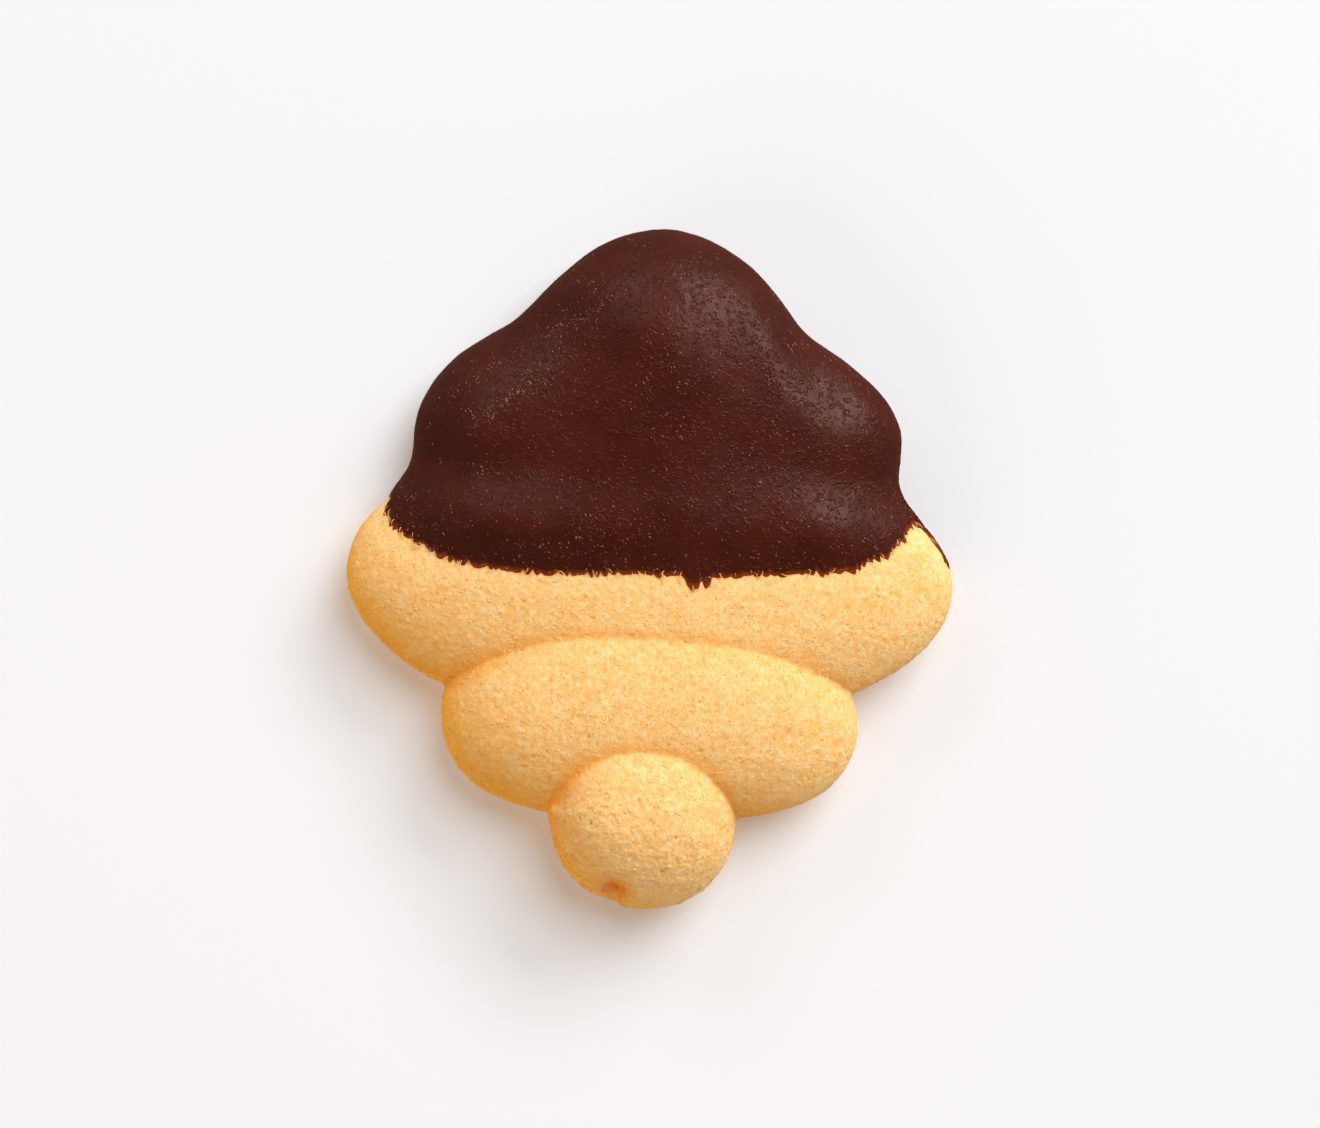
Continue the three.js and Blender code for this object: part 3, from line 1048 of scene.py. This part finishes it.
def scatterTree():
    sizes = {"Shapes": "NodeSocketCollection", "Mask": "NodeSocketString", "Density": 1.0, "Seed": 1,
             "Smallest": 0.6, "Largest": 1.2, "Heading": 0.0, "Spread": 3.14, "Lean": 0.2,
             "Sink": 0.0, "Material": "NodeSocketMaterial"}
    tree, given = startTree("scatterOnSurface", sizes)
    spots = addNode(tree, "GeometryNodeDistributePointsOnFaces", {
        "Mesh": given["Geometry"], "Density": readFloat(tree, given["Mask"]) * given["Density"],
        "Seed": given["Seed"]})
    normal = spots.outputs["Normal"]
    standing = flow(tree, "FunctionNodeAlignRotationToVector", {"Vector": normal}, axis="Z")
    facing = given["Heading"] + chance(tree, given["Spread"] * -1.0, given["Spread"], 1)
    ahead = joinXYZ(tree, facing.math("COSINE"), facing.math("SINE"))
    headed = flow(tree, "FunctionNodeAlignRotationToVector", {
        "Rotation": standing, "Vector": ahead}, axis="X", pivot_axis="Z")
    tilt = joinXYZ(tree, y=chance(tree, given["Lean"] * -1.0, given["Lean"], 2))
    leaning = flow(tree, "FunctionNodeRotateRotation", {
        "Rotation": headed, "Rotate By": tilt}, rotation_space="LOCAL")
    seated = flow(tree, "GeometryNodeSetPosition", {
        "Geometry": spots.outputs["Points"], "Offset": scaledBy(tree, normal, given["Sink"] * -1.0)})
    shapes = flow(tree, "GeometryNodeCollectionInfo", {
        "Collection": given["Shapes"], "Separate Children": True, "Reset Children": True})
    placed = flow(tree, "GeometryNodeInstanceOnPoints", {
        "Points": seated, "Instance": shapes, "Pick Instance": True, "Rotation": leaning,
        "Scale": chance(tree, given["Smallest"], given["Largest"], 3)})
    endTree(tree, placed, given["Material"])
    return tree


# A tapered strand bent into an arc, lying along X with its back up.
def strandMesh(name, length, thick, bend, lift):
    steps = 4  # rings of points along it
    sides = 4
    points = []
    for step in range(steps):
        part = step / (steps - 1)
        along = part - 0.5
        # 0.08 and 0.1 keep the middle of the arc near the origin
        sideways = bend * length * (along * along - 0.08)
        upwards = lift * length * (0.1 - along * along)
        middle = Vector((along * length, sideways, upwards))
        radius = thick * (0.35 + 0.65 * math.sin(math.pi * part))  # blunt at the ends
        for side in range(sides):
            around = 2 * math.pi * (side + 0.5) / sides
            points.append(middle + Vector((0, math.cos(around), math.sin(around))) * radius)
    faces = wallFaces(steps, sides)
    faces.append(tuple(reversed(range(sides))))
    faces.append(tuple(range((steps - 1) * sides, steps * sides)))
    return meshFrom(name, points, faces)


# A small lump: a ball of twenty faces with its corners pulled about.
def lumpMesh(name, size, number):
    golden = (1 + math.sqrt(5)) / 2
    corners = []
    for a in (-1, 1):
        for b in (-golden, golden):
            corners += [(0, a, b), (a, b, 0), (b, 0, a)]
    corners = [Vector(corner).normalized() for corner in corners]
    points = []
    for corner in corners:
        swell = 1 + 0.7 * noise.noise(corner * 1.3 + Vector((number * 5.1, 2.0, 8.0)))
        longAndFlat = Vector((corner.x * 1.25, corner.y, corner.z * 0.75))
        points.append(longAndFlat * size * swell)
    near = 1.2  # neighbours on the unit ball lie closer than this
    faces = []
    for a in range(12):
        for b in range(a + 1, 12):
            for c in range(b + 1, 12):
                sides = ((a, b), (b, c), (a, c))
                if all((corners[i] - corners[j]).length < near for i, j in sides):
                    outward = (corners[b] - corners[a]).cross(corners[c] - corners[a]).dot(corners[a])
                    faces.append((a, b, c) if outward > 0 else (a, c, b))
    return meshFrom(name, points, faces)


def strandShapes(setup, name):
    meshes = []
    for number in range(setup["shapes"]):
        bend = setup["curl"] * math.sin(number * 2.4)
        lift = 0.5 + 0.4 * math.cos(number * 1.7)
        meshes.append(strandMesh(name, setup["length"], setup["thick"], bend, lift))
    return meshes


def lumpShapes(setup, name):
    return [lumpMesh(name, setup["size"], number) for number in range(setup["shapes"])]


def scatterPiece(name, tree, surface, setup, meshes, material):
    shapes = bpy.data.collections.new(name + "_shapes")
    bpy.context.scene.collection.children.link(shapes)
    for mesh in meshes:
        shapes.objects.link(bpy.data.objects.new(mesh.name, mesh))
    piece = newObject(name, surface.data.copy())
    values = dict(setup["scatter"], Shapes=shapes, Seed=setup["seed"], Material=material)
    for angle in ("Heading", "Spread", "Lean"):
        values[angle] = math.radians(values[angle])
    runTree(piece, tree, values)
    for shape in list(shapes.objects):
        bpy.data.objects.remove(shape)
    bpy.data.collections.remove(shapes)
    print("scattered", name)
    return piece


def crumbMaterial():
    material, tree, shader = newMaterial("looseCrumb")
    place = objectPlace(tree)
    patches = noiseAt(tree, place, 0.8, 2.0).remap(0.35, 0.65, 0.0, 0.45)
    # painted light: the pale patches keep to the side towards the main light
    litPalePatches = patches * paintedLightSide(tree, place, 0.1)
    colour = layColours(tree, crustColour(tree, place), doughFinish, [(litPalePatches, "pale")])
    tree.links.new(colour.socket, shader.inputs["Base Color"])
    setSockets(shader, {"Roughness": 0.9, "Specular IOR Level": 0.0})
    return material


def speckMaterial():
    material, tree, shader = newMaterial("paleSpeck")
    patches = noiseAt(tree, objectPlace(tree), 1.2, 2.0).remap(0.4, 0.62)
    colour = layColours(tree, chocolateSpecks["dull"], chocolateSpecks, [(patches, "pale")])
    tree.links.new(colour.socket, shader.inputs["Base Color"])
    setSockets(shader, {"Roughness": 0.5})
    return material


# Where dust and specks gather on the chocolate: near the edge, in drifting bands, and along
# the scuffs given by their ends and width.
speckBands = {
    "bareEdge": 0.1,  # the very edge stays clean
    "edgeDust": 1.3,
    "edgeReach": 2.2,
    "bandSize": 3.5,
    "bandMiddle": 0.3,
    "bandSwing": 1.6,
    "scuffDust": 3.0,
    "scuffs": [((-16.6, 15.7), (-2.1, 24.2), 0.5), ((-15.0, 12.5), (-8.0, 18.0), 0.9)],
}


# Stores how thickly dust lies at each point of the chocolate.
def dustOnCoat(mesh):
    bands = speckBands
    points = vectorsOf(mesh.vertices)
    run = storedFloat(mesh, "edgeRun")
    dusty = bands["edgeDust"] * np.exp(-run / bands["edgeReach"])
    for k, point in enumerate(points):
        band = wander(Vector(point), bands["bandSize"], (3.0, 8.0, 1.0))
        dusty[k] += max(bands["bandMiddle"] + bands["bandSwing"] * band, 0.0)
    for first, second, width in bands["scuffs"]:
        start = np.array(first)
        step = np.array(second) - start
        part = np.clip((points[:, :2] - start) @ step / (step @ step), 0, 1)
        away = np.linalg.norm(points[:, :2] - start - part[:, None] * step, axis=1) / width
        dusty = dusty + bands["scuffDust"] * np.exp(-away * away)
    onTop = points[:, 2] > cookieLevels["belly"]
    storeFloat(mesh, "dusty", dusty * onTop * (run > bands["bareEdge"]))


# Where the hairs stand: on the dough close to the dip edge.
def fringeOnDough(mesh):
    away = storedFloat(mesh, "edgeAway")
    storeFloat(mesh, "fringe", np.clip(1 - away / edgeHairs["reach"], 0, 1))


stageSetup = {
    "floorHalf": 1.6,  # in metres, as the other lengths here
    "floorTint": (0.642, 0.722, 0.815, 1),
    "floorGlow": (0.24, 0.19, 0.15, 1),  # the board is lit a little from below
    "lens": 100.0,  # this and the sensor are in millimetres
    "sensor": 36.0,
    "frameWidth": 0.11665,  # what the camera takes in at the height of the cookie's belly
    "aim": (0.00093, 0.0004),  # the point that it looks straight down on
    "lightDistance": 2.2,
    "horizon": 0.4,  # glow of the sky low down
    "zenith": 0.02,
    "fadeOut": (0.35, 0.8),  # upward part of the direction over which it fades to the zenith
    "skyline": (-0.1, 0.15),  # and over which it comes up
    "skyInGloss": 0.12,  # how much of the sky the chocolate mirrors
    "boardInGloss": (0.25, 0.155, 0.125, 1),  # painted reflection: a darker, warmer board, seen only in the chocolate's gloss
    "skyTint": (1.0, 0.85, 0.68, 1),
}

# Angles are in degrees, and azimuths run from +Y towards +X. Share is the part of the light
# on the floor.
studioLights = {
    "main": {"azimuth": 38, "height": 56, "spread": (20, 20), "share": 0.555, "glossy": False},
    "window": {"azimuth": 40, "height": 32, "spread": (22, 9), "share": 0.32, "glossy": True,
               "colour": (1.0, 0.91, 0.84)},
    "leftWindow": {"azimuth": -28, "height": 32, "spread": (18, 8), "share": 0.08, "glossy": True,
                   "colour": (1.0, 0.93, 0.88)},
    "warmBounce": {"azimuth": 228, "height": 25, "spread": (30, 18), "share": 0.12, "glossy": False,
                   "colour": (1.0, 0.75, 0.52)},
}


# All of it for most rays, and only a share of it in reflections.
def shownInGloss(tree, share):
    return flow(tree, "ShaderNodeLightPath", output="Is Glossy Ray").remap(0, 1, 1, share)


def makeFloor():
    half = stageSetup["floorHalf"]
    corners = [(-half, -half, 0), (half, -half, 0), (half, half, 0), (-half, half, 0)]
    floor = newObject("floor", meshFrom("floor", corners, [(0, 1, 2, 3)]))
    material, tree, shader = newMaterial("paleBoard")
    setSockets(shader, {
        "Roughness": 0.9, "Specular IOR Level": 0.0, "Emission Color": stageSetup["floorGlow"]})
    shown = shownInGloss(tree, 0.0)
    # painted reflection: reflections see the board in this darker, warmer colour
    tint = blendColours(tree, shown, stageSetup["boardInGloss"], stageSetup["floorTint"])
    tree.links.new(tint.socket, shader.inputs["Base Color"])
    tree.links.new(shown.socket, shader.inputs["Emission Strength"])
    floor.data.materials.append(material)


def makeLight(name, setup):
    turn = math.radians(setup["azimuth"])
    height = math.radians(setup["height"])
    flat = math.cos(height)
    towards = Vector((math.sin(turn) * flat, math.cos(turn) * flat, math.sin(height)))
    distance = stageSetup["lightDistance"]
    data = bpy.data.lights.new(name, "AREA")
    data.shape = "ELLIPSE"
    across, upward = setup["spread"]
    data.size = 2 * distance * math.tan(math.radians(across))
    data.size_y = 2 * distance * math.tan(math.radians(upward))
    data.energy = setup["share"] * (math.pi * distance) ** 2 / math.sin(height)
    light = newObject(name, data)
    light.location = towards * distance
    light.rotation_euler = towards.to_track_quat("Z", "Y").to_euler()
    light.visible_glossy = setup["glossy"]
    data.color = setup.get("colour", (1, 1, 1))


def makeSky():
    world = bpy.data.worlds.new("studio")
    bpy.context.scene.world = world
    world.use_nodes = True
    tree = world.node_tree
    up = splitXYZ(tree, addNode(tree, "ShaderNodeTexCoord").outputs["Generated"])[2]
    glow = up.remap(*stageSetup["fadeOut"], stageSetup["horizon"], stageSetup["zenith"])
    glow = glow * up.remap(*stageSetup["skyline"])
    mirrored = shownInGloss(tree, stageSetup["skyInGloss"])
    background = tree.nodes["Background"]
    tree.links.new((glow * mirrored).socket, background.inputs["Strength"])
    background.inputs["Color"].default_value = stageSetup["skyTint"]


def makeCamera():
    data = bpy.data.cameras.new("camera")
    data.lens = stageSetup["lens"]
    data.sensor_width = stageSetup["sensor"]
    data.clip_start = 0.01
    data.clip_end = 10
    camera = newObject("camera", data)
    distance = stageSetup["frameWidth"] * stageSetup["lens"] / data.sensor_width
    camera.location = (*stageSetup["aim"], distance + cookieLevels["belly"] * mm)
    bpy.context.scene.camera = camera
    bpy.context.scene.view_settings.view_transform = "Standard"


coatMesh, edgeTop, edgeShare, coatShape = makeCoatSkin()
coat = newObject("chocolate_dip", coatMesh)
runTree(coat, chocolateReliefTree(), dict(chocolateCoat["relief"], Material=chocolateMaterial()))
dustOnCoat(coat.data)
dough = makeBiscuit(edgeTop, edgeShare, coatShape, doughMaterial())
fringeOnDough(dough.data)

looseCrumb = crumbMaterial()
speckShapes = lumpShapes(chocolateSpecks, "speck") + strandShapes(chocolateSpecks, "dash")
scattered = {
    "crumb_flakes": (dough, crumbFlakes, strandShapes(crumbFlakes, "flake"), looseCrumb),
    "crumb_nubs": (dough, crumbNubs, lumpShapes(crumbNubs, "nub"), looseCrumb),
    "edge_hairs": (dough, edgeHairs, strandShapes(edgeHairs, "hair"), looseCrumb),
    "chocolate_specks": (coat, chocolateSpecks, speckShapes, speckMaterial()),
}
scatter = scatterTree()
loosePieces = [scatterPiece(name, scatter, *given) for name, given in scattered.items()]

finishPiece(coat, slots["chocolate_coat"], "chocolate_coat")
finishPiece(dough, slots["biscuit"], "biscuit")
for piece in loosePieces:
    finishPiece(piece, slots["biscuit"])
makeFloor()
for name, setup in studioLights.items():
    makeLight(name, setup)
makeSky()
makeCamera()
print("set the stage with", len(studioLights), "lights")
